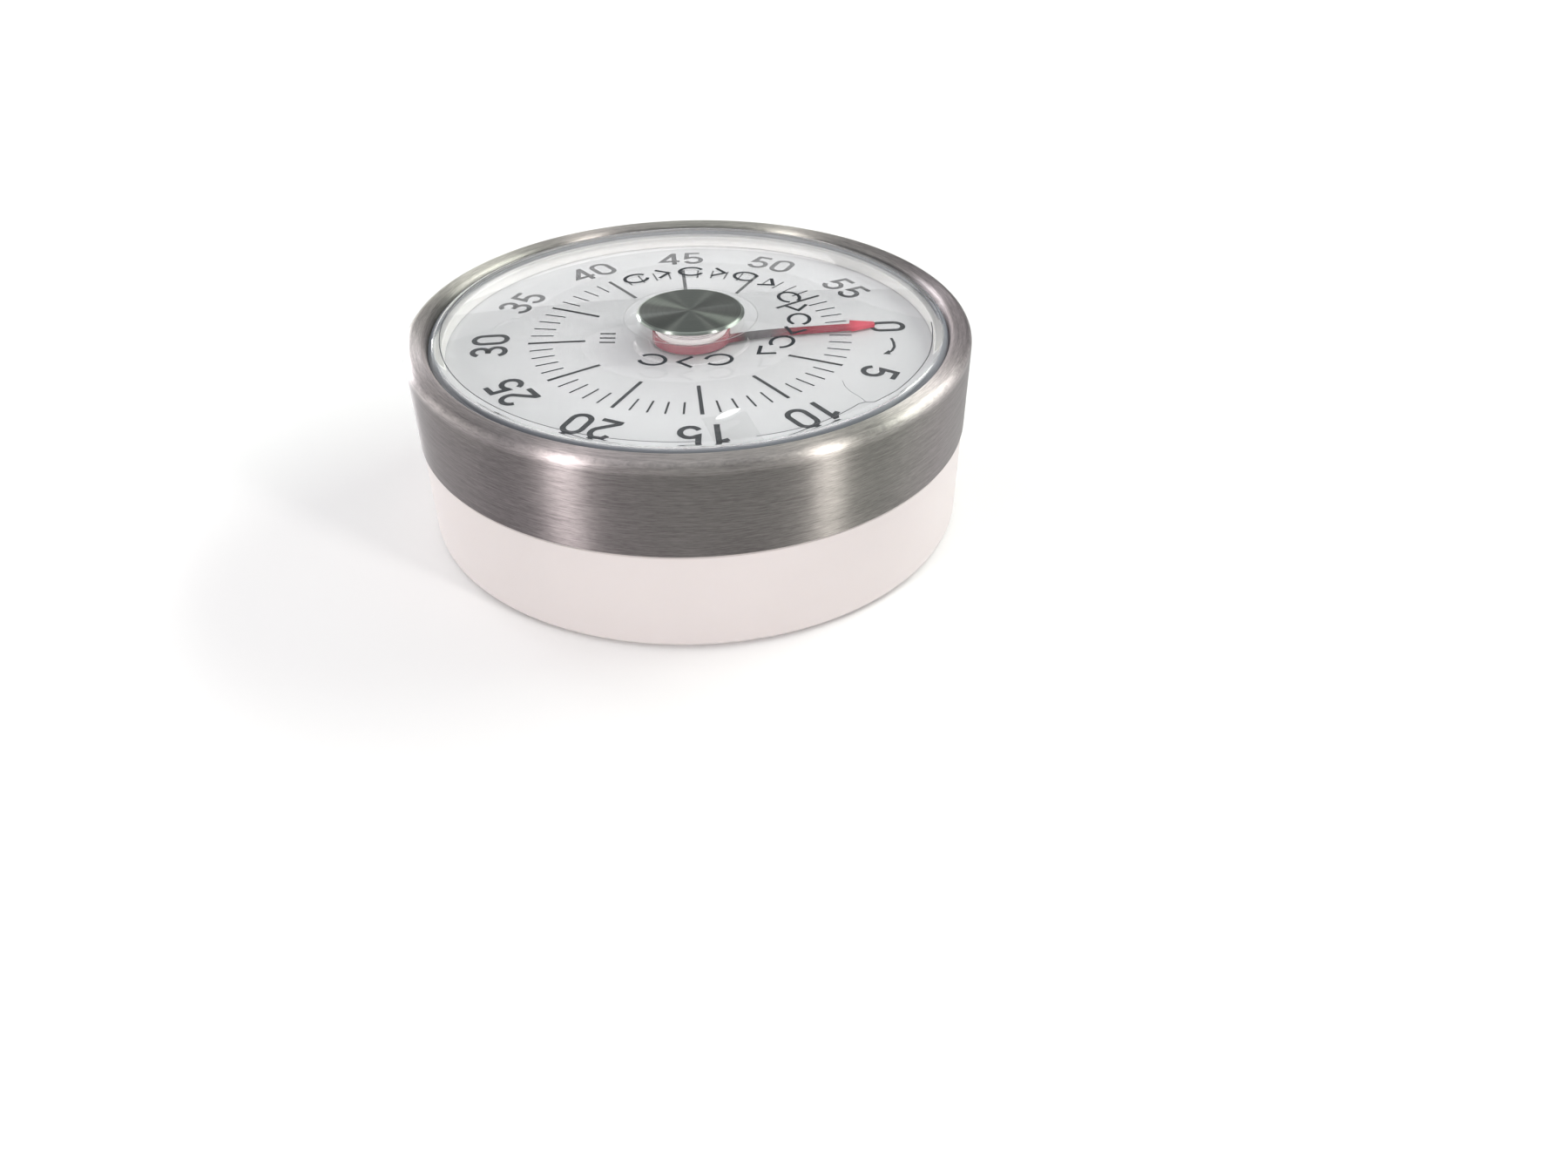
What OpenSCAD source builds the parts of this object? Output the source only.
// Mechanical 60-minute kitchen timer: a flat round case with a steel ring that is turned to set
// the time. The ring, window and pointer ride on the main arbor of a small clockwork movement.
// Origin: centre of the circle that the feet stand on. +Z up, +Y towards the 0 mark of the dial.

/* [Case] */
// Outer diameter of the steel ring
ring_d = 78; // [77.8:0.1:79]
// Height of the steel ring
ring_h = 13; // [12.9:0.1:13.2]
// Sheet thickness of the steel ring
ring_t = 0.4; // [0.3:0.05:0.5]
// Width of the ring's flat top edge, from the outside to the turned-down lip
rim_w = 3; // [2.9:0.05:3.05]
// Rounding of the ring's outer top edge
rim_round = 1.1; // [0.8:0.1:1.3]
// Rounding of the ring's inner top edge
lip_round = 0.7; // [0.6:0.05:0.8]
// Outer diameter of the plastic base
base_d = 77.6; // [77.2:0.1:77.8]
// Height of the plastic base
base_h = 14; // [13.8:0.1:14.1]
// Wall thickness of the plastic base
base_wall = 1.9; // [1.6:0.1:2.1]
// Floor thickness of the plastic base
floor_t = 1.6; // [1.5:0.1:1.7]
// Rounding of the base's bottom edge
base_round = 0.8; // [0.4:0.1:1.2]
// How far the rubber feet stand proud of the base
foot_proud = 0.4; // [0.3:0.1:0.6]
// Running gap between the base and the steel ring
ring_gap = 0.2; // [0.15:0.05:0.3]

/* [Window] */
// Rise of the window from its edge to its middle
window_dome = 0.4; // [0.2:0.1:0.5]
// Rounding of the window's outer edge
window_round = 1.6; // [1.2:0.1:1.6]
// Diameter of the clear boss under the centre disc
boss_d = 10; // [9:0.5:10.4]
// Diameter of the steel centre disc
centre_d = 15; // [14:0.5:17]
// Thickness of the steel centre disc
centre_t = 0.6; // [0.5:0.1:0.8]
// Width of the centre disc's rounded edge
centre_edge = 0.4; // [0.3:0.05:0.5]
// Thickness of the protective film
film_t = 0.1; // [0.08:0.01:0.14]
// Diameter of the protective film
film_d = 68.2; // [66:0.2:69]
// Diameter of the hole in the protective film
film_hole_d = 18.4; // [17:0.2:20]

/* [Dial and pointer] */
// Diameter of the dial
dial_d = 69; // [68:0.2:69]
// Thickness of the dial
dial_t = 0.6; // [0.5:0.1:0.7]
// Distance from the middle to the pointer's tip
pointer_len = 26; // [24:0.5:28]
// Width of the pointer's arm
pointer_w = 1.3; // [1:0.1:2]
// How far the arm's root stands to the side of the middle line
pointer_skew = 1.9; // [0:0.1:2.2]
// How far the arm stands to that side where its arrow head begins
pointer_bend = 0.8; // [0:0.1:1]
// Thickness of the pointer
pointer_t = 0.5; // [0.4:0.1:0.7]
// Diameter of the pointer's hub
pointer_hub_d = 10.6; // [10.5:0.1:12]
// Height of the pointer's hub
pointer_hub_t = 1; // [0.8:0.1:1.2]

/* [Movement] */
// Diameter of the movement's plates
plate_d = 58; // [57:0.5:58.5]
// Thickness of the movement's plates
plate_t = 1.2; // [1:0.1:1.2]
// Teeth of the great wheel
great_teeth = 80; // [80:10:80]
// Tooth module of the great wheel and its pinion
great_module = 0.36; // [0.36:0.01:0.36]
// Teeth of the second and third wheels
train_teeth = 60; // [60:10:60]
// Leaves of every pinion
pinion_leaves = 10; // [10:1:10]
// Tooth module of the second and third wheels and their pinions
train_module = 0.32; // [0.32:0.01:0.32]
// Teeth of the escape wheel
escape_teeth = 20; // [16:1:24]
// Play between the flanks of meshing teeth
backlash = 0.08; // [0.06:0.01:0.1]
// Diameter of the balance wheel
balance_d = 11; // [9:0.5:11.5]
// Outer diameter of the bell
bell_d = 42; // [38:1:43]

/* [Hidden] */
$fn = 96;
eps = 0.5;

// Case levels and radii
ring_r = ring_d / 2;
base_r = base_d / 2;
base_top = foot_proud + base_h;
ring_z0 = base_top + ring_gap;
ring_z1 = ring_z0 + ring_h;
land_r = ring_r - rim_w;
lip_r = land_r + ring_t;
floor_z = foot_proud + floor_t;
ledge_z = foot_proud + 3;
ledge_r = 33.5;
foot_r = 4;
foot_place_r = 31;
foot_recess = 0.6;
foot_angles = [30, 150, 270];
magnet_r = 5;
magnet_t = 2;
magnet_place_r = 28;
magnet_z0 = foot_proud + 0.6;
magnet_angles = [60, 180, 300];
case_screw_place_r = 32;
case_screw_angles = [0, 120, 240];
boss_place_r = 25;
boss_angles = [100, 220, 340];
slot_count = 12;
thread_r = 0.9;
clear_r = 1.1;

// Bearing between the fixed carrier and the ring that turns on it
carrier_r = 36.1;
carrier_in_r = 34.6;
bearing_gap = 0.08;
rotor_gap = 0.35;
bearing_z = [16.5, 18.5];

// Window, dial and pointer levels
seat_z = ring_z1 - 2.15;
seat_t = 1.2;
seat_r = 34;
carrier_top = seat_z - seat_t - 0.3;
dial_top = carrier_top - 0.1;
dial_z = dial_top - dial_t;
pointer_z = dial_top + 0.25;
window_r = land_r - 0.05;
window_edge_z = ring_z1 - 0.05;
window_top = window_edge_z + window_dome;
window_under = ring_z1 - 1.6;
boss_z = pointer_z + pointer_hub_t;
film_lift = 0.03;
tab_len = 7.4;
tab_w = 5.6;
tab_c = [32.05, 3.05];
tab_a = 11;
disc_z = window_top + 0.3;

// Movement levels
plate_r = plate_d / 2;
plate_z = 8.8;
between_z = plate_z + plate_t;
top_z = 20.8;
over_z = top_z + plate_t;
great_z = 15.3;
great_t = 1.2;
ratchet_z = great_z + great_t + 0.1;
ratchet_t = 0.7;
second_z = 17.6;
third_z = 19.0;
star_z = 11;
escape_z = 12;
anchor_z = 13.4;
balance_z = 14.7;
cam_z = over_z + 0.3;
cam_t = 0.6;
bell_top = 7.6;
bell_t = 0.8;
hammer_z = bell_top - 3.4;
wheel_t = 0.7;

// Arbors, placed so that every wheel reaches its pinion
second_place_r = great_module * (great_teeth + pinion_leaves) / 2;
train_step = train_module * (train_teeth + pinion_leaves) / 2;
third_place_r = 17;
escape_place_r = 21;
anchor_step = 7.6;
second_a = 160;
third_a = second_a - angle_between(second_place_r, third_place_r, train_step);
escape_a = third_a - angle_between(third_place_r, escape_place_r, train_step);
balance_a = escape_a - angle_between(escape_place_r, escape_place_r, anchor_step);
hammer_place_r = 26;
hammer_a = 143;
second_c = polar(second_place_r, second_a);
third_c = polar(third_place_r, third_a);
escape_c = polar(escape_place_r, escape_a);
balance_c = polar(escape_place_r, balance_a);
hammer_c = polar(hammer_place_r, hammer_a);
arbor_r = 2;
main_pivot_r = 1.5;
train_arbor_r = 0.7;
pivot_r = 0.5;
hammer_arbor_r = 0.8;
pivot_gap = 0.05;
pillar_place_r = 26;
pillar_angles = [30, 205, 262, 318];

// Spring, escapement and alarm
drum_r = 11.5;
drum_t = 0.6;
drum_h = 4.9;
spring_t = 0.35;
spring_pitch = 1.2;
spring_turns = 6;
core_r = 2.8;
escape_r = 5;
pin_r = 0.3;
pin_path_r = escape_r + 0.35 + pin_r;
pin_a = 40.5;
cam_r = 8;
feeler_tip_r = cam_r + 1.6;
star_r = 3;
star_points = 8;
lifting_tip_r = star_r + 1.2;
head_r = 1.8;
head_c = polar(bell_d / 2 + 0.6 + head_r, 125);

function polar(r, a) = [r * cos(a), r * sin(a)];
function direction(v) = atan2(v[1], v[0]);
function angle_between(r1, r2, d) = acos((r1 * r1 + r2 * r2 - d * d) / (2 * r1 * r2));
function arc(c, r, a0, a1, steps) =
    [for (i = [0:steps]) c + polar(r, a0 + (a1 - a0) * i / steps)];

// Involute gear outline: half_angle gives half a tooth's angle at a radius
function involute(phi) = tan(phi) * 180 / PI - phi;
function phi_at(r, base) = r > base ? acos(base / r) : 0;
function half_angle(r, pitch_r, pitch_half) =
    pitch_half + involute(20) - involute(phi_at(r, pitch_r * cos(20)));
function gear_outline(teeth, module_, addendum, dedendum) =
    let (
        pitch_r = teeth * module_ / 2,
        pitch_half = (90 * module_ - backlash * 90 / PI) / (2 * pitch_r),
        tip = pitch_r + addendum * module_,
        root = pitch_r - dedendum * module_,
        base = max(root, pitch_r * cos(20)),
        radii = [root, base + 0.02 * module_, (base + pitch_r) / 2, pitch_r, tip]
    )
    [for (i = [0:teeth - 1], side = [-1, 1], k = [0:4])
        let (r = radii[side < 0 ? k : 4 - k])
        polar(r, 360 * i / teeth + side * half_angle(r, pitch_r, pitch_half))];

// Shared shapes
module disc(r, z0, z1) translate([0, 0, z0]) cylinder(h = z1 - z0, r = r);
module hole(r, z0, z1) disc(r, z0 - eps, z1 + eps);
module tube(r_out, r_in, z0, z1) difference() {
    disc(r_out, z0, z1);
    hole(r_in, z0, z1);
}
module at(r, a) rotate([0, 0, a]) translate([r, 0, 0]) children();
module ring_of(r, angles) for (a = angles) at(r, a) children();
module turned(points) rotate_extrude() polygon(points);
module gear(teeth, module_, addendum, dedendum, z, t, bore) difference() {
    translate([0, 0, z]) linear_extrude(t) polygon(gear_outline(teeth, module_, addendum, dedendum));
    hole(bore, z, z + t);
}
module wheel(teeth, module_, z, t, bore) gear(teeth, module_, 0.6, 1.25, z, t, bore);
module windows(inner, outer, count, z, t) for (i = [0:count - 1])
    rotate([0, 0, 360 * (i + 0.5) / count]) translate([(inner + outer) / 2, 0, z - eps])
        cylinder(h = t + 2 * eps, r = (outer - inner) / 2);
module pinion_arbor(module_, z, t) {
    gear(pinion_leaves, module_, 1, 0.85, z, t, train_arbor_r);
    disc(train_arbor_r, between_z + 0.3, top_z - 0.3);
    disc(pivot_r, plate_z, between_z + 0.3);
    disc(pivot_r, top_z - 0.3, over_z + 0.1);
}
module slotted_screw(head_r, head_h, r, len) difference() {
    union() {
        translate([0, 0, -len]) cylinder(h = len, r = r);
        cylinder(h = head_h, r = head_r);
    }
    translate([-head_r - eps, -0.3, head_h * 0.55]) cube([2 * head_r + 2 * eps, 0.6, head_h]);
}
module bar(from, to, w, z, t) translate([from[0], from[1], z])
    rotate([0, 0, direction(to - from)]) translate([0, -w / 2, 0]) cube([norm(to - from), w, t]);

// Fixed case
module base_shell() color("mistyrose") {
    r = base_r;
    z = foot_proud;
    difference() {
        union() {
            turned(concat(
                [[0, z], [r - base_round, z]],
                arc([r - base_round, z + base_round], base_round, -90, 0, 6),
                [[r, base_top - 0.15], [r - 0.15, base_top], [r - base_wall, base_top],
                 [r - base_wall, ledge_z], [ledge_r, ledge_z], [ledge_r, floor_z], [0, floor_z]]
            ));
            ring_of(magnet_place_r, magnet_angles) disc(magnet_r + 0.8, z + 0.2, magnet_z0 + magnet_t);
            ring_of(boss_place_r, boss_angles) disc(2.1, z + 0.2, plate_z);
            ring_of(case_screw_place_r, case_screw_angles) disc(3.2, z + 0.2, ledge_z);
            disc(2.6, z + 0.2, bell_top - bell_t);
        }
        ring_of(foot_place_r, foot_angles) hole(foot_r, z - eps, z + foot_recess - eps);
        ring_of(magnet_place_r, magnet_angles) hole(magnet_r, magnet_z0 + eps, magnet_z0 + magnet_t);
        ring_of(boss_place_r, boss_angles) hole(thread_r, plate_z - 4, plate_z);
        ring_of(case_screw_place_r, case_screw_angles) {
            hole(1.25, z, ledge_z);
            hole(2.3, z - eps, z + 1.4 - eps);
        }
        hole(thread_r, bell_top - 4, bell_top);
        for (i = [0:slot_count - 1]) rotate([0, 0, 360 * i / slot_count])
            translate([7, -0.8, z - eps]) cube([11, 1.6, floor_t + 2 * eps]);
    }
}
module rubber_feet() color("dimgray")
    ring_of(foot_place_r, foot_angles) disc(foot_r, 0, foot_proud + foot_recess);
module magnets() color("silver")
    ring_of(magnet_place_r, magnet_angles) disc(magnet_r, magnet_z0, magnet_z0 + magnet_t - 0.1);
module case_screws() color("gray")
    ring_of(case_screw_place_r, case_screw_angles) translate([0, 0, foot_proud + 1.4])
        mirror([0, 0, 1]) slotted_screw(2.2, 1.2, 1.2, 6);
module dial_carrier() color("whitesmoke") difference() {
    union() {
        turned([
            [carrier_in_r, ledge_z], [carrier_r, ledge_z], [carrier_r, carrier_top],
            [carrier_in_r, carrier_top], [carrier_in_r, dial_top + 0.1], [carrier_in_r, dial_z],
            [31, dial_z], [31, dial_z - 0.8], [carrier_in_r, dial_z - 2.4]
        ]);
        ring_of(case_screw_place_r, case_screw_angles) {
            disc(2.5, ledge_z, ledge_z + 6);
            translate([1, -1.5, ledge_z]) cube([2.2, 3, 6]);
        }
    }
    ring_of(case_screw_place_r, case_screw_angles) hole(1.2, ledge_z, ledge_z + 4.5);
}
module dial_disc() color("white") tube(dial_d / 2, 3.2, dial_z, dial_top);

// Fixed parts of the movement
module plate_holes(z) {
    for (c = [second_c, third_c, escape_c, balance_c]) translate(c)
        hole(pivot_r + pivot_gap, z, z + plate_t);
    translate(hammer_c) hole(hammer_arbor_r + pivot_gap, z, z + plate_t);
    ring_of(pillar_place_r, pillar_angles) hole(thread_r, z, z + plate_t);
}
module bottom_plate() color("goldenrod") difference() {
    disc(plate_r, plate_z, between_z);
    hole(main_pivot_r + pivot_gap, plate_z, between_z);
    plate_holes(plate_z);
    ring_of(boss_place_r, boss_angles) hole(clear_r, plate_z, between_z);
    for (a = [15, 285]) at(20, a) hole(2.5, plate_z, between_z);
}
module top_plate() color("goldenrod") difference() {
    disc(plate_r, top_z, over_z);
    hole(arbor_r + pivot_gap, top_z, over_z);
    plate_holes(top_z);
    for (a = [0, 235, 290]) at(17, a) hole(5, top_z, over_z);
}
module pillars() color("silver")
    ring_of(pillar_place_r, pillar_angles) tube(1.8, thread_r, between_z, top_z);
module pillar_screws() color("gray") ring_of(pillar_place_r, pillar_angles) {
    translate([0, 0, over_z]) slotted_screw(1.7, 0.8, thread_r, 3.5);
    translate([0, 0, plate_z]) mirror([0, 0, 1]) slotted_screw(1.7, 0.8, thread_r, 3.5);
}
module movement_screws() color("gray") ring_of(boss_place_r, boss_angles)
    translate([0, 0, between_z]) slotted_screw(1.9, 0.9, thread_r, 4.5);
module spring_drum() color("silver") difference() {
    disc(drum_r, between_z, between_z + drum_h);
    disc(drum_r - drum_t, between_z + 0.4, between_z + drum_h + 1);
    hole(3, between_z, between_z + 1);
}
module mainspring() color("slategray") {
    // Half turns about two centres, each half a pitch wider than the one before
    half_pitch = spring_pitch / 2;
    for (i = [0:2 * spring_turns - 1])
        translate([(i % 2) * half_pitch, 0, between_z + 0.6]) rotate([0, 0, 180 * (i % 2)])
            rotate_extrude(angle = 180) translate([core_r + 0.4 + i * half_pitch, 0])
                square([spring_t, 4]);
}
module bell() color("lightgray") {
    r = bell_d / 2;
    under = bell_top - bell_t;
    turned([
        [thread_r, under], [r - 2, under], [r - bell_t, under - 1.2], [r - bell_t, bell_top - 4],
        [r, bell_top - 4], [r, bell_top - 1.6], [r - 1.6, bell_top], [thread_r, bell_top]
    ]);
}
module bell_screw() color("gray") translate([0, 0, bell_top]) slotted_screw(2.2, 0.6, thread_r, 4);
module hammer_spring() color("slategray") {
    post = hammer_c + polar(9, lifting_dir) + polar(3, lifting_dir + 90);
    tip = hammer_c + polar(5, lifting_dir) + polar(1.5, lifting_dir + 90);
    translate(post) disc(0.7, between_z, star_z + 1.4);
    bar(post, tip, 0.25, star_z + 0.2, 1);
}

// The ring and all that turns with it on the main arbor
module steel_ring() color("silver") turned(concat(
    [[ring_r - ring_t, ring_z0], [ring_r, ring_z0]],
    arc([ring_r - rim_round, ring_z1 - rim_round], rim_round, 0, 90, 8),
    arc([land_r + lip_round, ring_z1 - lip_round], lip_round, 90, 180, 6),
    [[land_r, seat_z], [lip_r, seat_z]],
    arc([land_r + lip_round, ring_z1 - lip_round], lip_round - ring_t, 180, 90, 4),
    arc([ring_r - rim_round, ring_z1 - rim_round], rim_round - ring_t, 90, 0, 8)
));
module rotor_ring() color("white") {
    inner = carrier_r + rotor_gap;
    outer = ring_r - ring_t;
    bearing = carrier_r + bearing_gap;
    turned([
        [inner, ring_z0 + 0.2], [outer, ring_z0 + 0.2], [outer, ring_z1 - rim_round - 0.3],
        [outer - rim_round, ring_z1 - ring_t], [land_r + lip_round, ring_z1 - ring_t],
        [lip_r, ring_z1 - lip_round], [lip_r, seat_z],
        [seat_r, seat_z], [seat_r, seat_z - seat_t], [inner, seat_z - seat_t],
        [inner, bearing_z[1]], [bearing, bearing_z[1]], [bearing, bearing_z[0]],
        [inner, bearing_z[0]]
    ]);
}
function dome_z(r) = window_top - window_dome * r * r / window_r / window_r;
function dome_line(r0, r1, lift, steps) =
    [for (i = [0:steps]) let (r = r0 + (r1 - r0) * i / steps) [r, dome_z(r) + lift]];
module window() color("azure", 0.4) difference() {
    shoulder_r = window_r - window_round;
    union() {
        turned(concat(
            dome_line(0, shoulder_r, 0, 8),
            arc([shoulder_r, dome_z(shoulder_r) - window_round], window_round, 80, 0, 8),
            [[window_r, seat_z], [window_r - 1, seat_z], [window_r - 1, window_under],
             [0, window_under]]
        ));
        disc(boss_d / 2, boss_z, disc_z);
    }
    disc(arbor_r, boss_z - eps, window_under);
    disc(clear_r, window_under, disc_z + 1);
    disc(2.4, disc_z - 1, disc_z + 1);
}
module protective_film() color("lightcyan", 0.3) turned(concat(
    dome_line(film_hole_d / 2, film_d / 2, film_lift, 6),
    dome_line(film_d / 2, film_hole_d / 2, film_lift + film_t, 6)
));
module film_tab() color("azure", 0.3) translate([tab_c[0], tab_c[1], dome_z(28) + film_t + 2 * film_lift])
    rotate([0, 0, tab_a]) translate([-tab_len / 2, -tab_w / 2, 0]) cube([tab_len, tab_w, 0.06]);
module centre_disc() color("silver") {
    face = centre_d / 2 - centre_edge;
    turned(concat(
        [[0, disc_z], [face - centre_edge, disc_z], [centre_d / 2, disc_z + 0.4 * centre_t]],
        arc([face, disc_z + centre_t / 2], centre_t / 2, 20, 90, 4),
        [[0, disc_z + centre_t]]
    ));
}
module hub_screw() color("gray") translate([0, 0, disc_z - 1]) slotted_screw(2.3, 0.9, clear_r, 5);
module pointer() color("crimson") difference() {
    neck = pointer_len - 3.4;
    side = pointer_w / 2;
    union() {
        disc(pointer_hub_d / 2, pointer_z, pointer_z + pointer_hub_t);
        translate([0, 0, pointer_z]) linear_extrude(pointer_t) polygon([
            [pointer_skew - side, 0], [pointer_skew + side, 0], [pointer_bend + side, neck],
            [pointer_bend + side + 0.3, neck - 0.2], [0.6, pointer_len], [-0.2, pointer_len],
            [pointer_bend - side - 1.1, neck], [pointer_bend - side, neck - 0.2]
        ]);
    }
    hole(arbor_r, pointer_z, pointer_z + pointer_hub_t);
}
module main_arbor() color("gray") difference() {
    union() {
        disc(main_pivot_r, plate_z - 0.2, between_z + 1);
        disc(arbor_r, between_z + 0.6, window_under);
        disc(core_r, between_z + 1, between_z + 4.4);
    }
    disc(clear_r, window_under - 4, window_under + 1);
}
module great_wheel() color("gold") difference() {
    rotate([0, 0, second_a]) wheel(great_teeth, great_module, great_z, great_t, arbor_r);
    windows(6.4, 10.8, 6, great_z, great_t);
}
module ratchet_wheel() color("silver") difference() {
    teeth = 18;
    translate([0, 0, ratchet_z]) linear_extrude(ratchet_t) polygon(
        [for (i = [0:teeth - 1], k = [0:1]) polar(k == 0 ? 5 : 4.3, 360 * (i + k * 0.85) / teeth)]
    );
    hole(arbor_r, ratchet_z, ratchet_z + ratchet_t);
}
click_c = polar(10.8, -60);
module click() color("gray") difference() {
    union() {
        translate(click_c) disc(1.1, ratchet_z, ratchet_z + ratchet_t);
        bar(click_c, polar(5.25, -15), 0.9, ratchet_z, ratchet_t);
    }
    translate(click_c) hole(0.5, ratchet_z, ratchet_z + ratchet_t);
    hole(5.15, ratchet_z, ratchet_z + ratchet_t);
}
module click_pin() color("silver") translate(click_c) disc(0.5, great_z + great_t, ratchet_z + ratchet_t);
module click_spring() color("slategray") {
    post = polar(11.5, -20);
    translate(post) disc(0.5, great_z + great_t, ratchet_z + ratchet_t);
    bar(post, polar(8, -40), 0.2, ratchet_z + 0.1, 0.5);
}
module alarm_cam() color("gold") difference() {
    disc(cam_r, cam_z, cam_z + cam_t);
    hole(arbor_r, cam_z, cam_z + cam_t);
    rotate([0, 0, direction(feeler_c)]) translate([cam_r - 1.6, -1.4, cam_z - eps])
        cube([3, 2.8, cam_t + 2 * eps]);
}

// The train
module spoked(teeth, module_, z) difference() {
    wheel(teeth, module_, z, wheel_t, train_arbor_r);
    windows(2.8, 7.8, 4, z, wheel_t);
}
module second_wheel() color("gold") translate(second_c)
    rotate([0, 0, direction(third_c - second_c)]) spoked(train_teeth, train_module, second_z);
module second_pinion() color("gray") translate(second_c)
    rotate([0, 0, second_a + 180 / pinion_leaves])
        pinion_arbor(great_module, great_z - 0.2, 1.6);
module third_wheel() color("gold") translate(third_c)
    rotate([0, 0, direction(escape_c - third_c)]) spoked(train_teeth, train_module, third_z);
module third_pinion() color("gray") translate(third_c)
    rotate([0, 0, direction(third_c - second_c) + 180 / pinion_leaves])
        pinion_arbor(train_module, second_z - 0.2, 1.1);
module star_wheel() color("gold") translate(third_c) difference() {
    translate([0, 0, star_z]) linear_extrude(wheel_t) polygon(
        [for (i = [0:2 * star_points - 1]) polar(i % 2 == 0 ? star_r : 2, 180 * i / star_points)]
    );
    hole(train_arbor_r, star_z, star_z + wheel_t);
}
module escape_wheel() color("gold") translate(escape_c) difference() {
    translate([0, 0, escape_z]) linear_extrude(wheel_t) polygon(
        [for (i = [0:escape_teeth - 1], k = [0:2])
            polar([escape_r - 1.1, escape_r, escape_r][k], 360 * (i + [0, 0.62, 0.74][k]) / escape_teeth)]
    );
    hole(train_arbor_r, escape_z, escape_z + wheel_t);
    windows(1.3, 3.3, 5, escape_z, wheel_t);
}
module escape_pinion() color("gray") translate(escape_c)
    rotate([0, 0, direction(escape_c - third_c) + 180 / pinion_leaves])
        pinion_arbor(train_module, third_z - 0.2, 1.1);

// Anchor and balance
module pin_places() for (side = [-1, 1])
    translate(escape_c + polar(pin_path_r, direction(balance_c - escape_c) + side * pin_a)) children();
module anchor() color("silver") difference() {
    union() {
        translate(balance_c) disc(1.3, anchor_z, anchor_z + wheel_t);
        for (side = [-1, 1]) bar(
            balance_c,
            escape_c + polar(pin_path_r, direction(balance_c - escape_c) + side * pin_a),
            1, anchor_z, wheel_t
        );
        pin_places() disc(0.6, anchor_z, anchor_z + wheel_t);
    }
    translate(balance_c) hole(train_arbor_r, anchor_z, anchor_z + wheel_t);
    pin_places() hole(pin_r, anchor_z, anchor_z + wheel_t);
}
module pallet_pins() color("gray")
    pin_places() disc(pin_r, escape_z - 0.3, anchor_z + wheel_t);
module balance_wheel() color("gold") translate(balance_c) difference() {
    disc(balance_d / 2, balance_z, balance_z + 1);
    hole(train_arbor_r, balance_z, balance_z + 1);
    windows(1.3, balance_d / 2 - 1, 3, balance_z, 1);
}
module balance_staff() color("gray") translate(balance_c) {
    disc(train_arbor_r, between_z + 0.3, top_z - 0.3);
    disc(pivot_r, plate_z, between_z + 0.3);
    disc(pivot_r, top_z - 0.3, over_z + 0.1);
}

// Hammer: it turns on its own arbor, lifted off the bell by the cam and by the star wheel
feeler_c = polar(feeler_tip_r, hammer_a - acos(feeler_tip_r / hammer_place_r));
lifting_dir = direction(third_c - hammer_c)
    + asin(lifting_tip_r / norm(third_c - hammer_c));
lifting_c = hammer_c
    + polar(sqrt(pow(norm(third_c - hammer_c), 2) - pow(lifting_tip_r, 2)), lifting_dir);
module hammer_level(z, t, tip, w, boss) difference() {
    union() {
        translate(hammer_c) disc(boss, z, z + t);
        bar(hammer_c, tip, w, z, t);
    }
    translate(hammer_c) hole(hammer_arbor_r, z, z + t);
}
module hammer_arbor() color("gray") translate(hammer_c)
    disc(hammer_arbor_r, hammer_z, cam_z + cam_t);
module feeler_arm() color("silver") hammer_level(cam_z, cam_t, feeler_c, 1.2, 1.8);
module lifting_arm() color("silver") hammer_level(star_z, wheel_t, lifting_c, 1, 1.6);
module hammer_arm() color("silver") difference() {
    hammer_level(hammer_z, 1, head_c, 1.2, 1.6);
    translate(head_c) hole(head_r - 0.8, hammer_z, hammer_z + 1);
}
module hammer_head() color("gold") translate(head_c) {
    disc(head_r - 0.8, hammer_z, hammer_z + 1);
    disc(head_r, hammer_z + 1, bell_top - 0.2);
}

base_shell();
rubber_feet();
magnets();
case_screws();
dial_carrier();
dial_disc();
bottom_plate();
top_plate();
pillars();
pillar_screws();
movement_screws();
spring_drum();
mainspring();
bell();
bell_screw();
hammer_spring();
steel_ring();
rotor_ring();
window();
protective_film();
film_tab();
centre_disc();
hub_screw();
pointer();
main_arbor();
great_wheel();
ratchet_wheel();
click();
click_pin();
click_spring();
alarm_cam();
second_wheel();
second_pinion();
third_wheel();
third_pinion();
star_wheel();
escape_wheel();
escape_pinion();
anchor();
pallet_pins();
balance_wheel();
balance_staff();
hammer_arbor();
feeler_arm();
lifting_arm();
hammer_arm();
hammer_head();
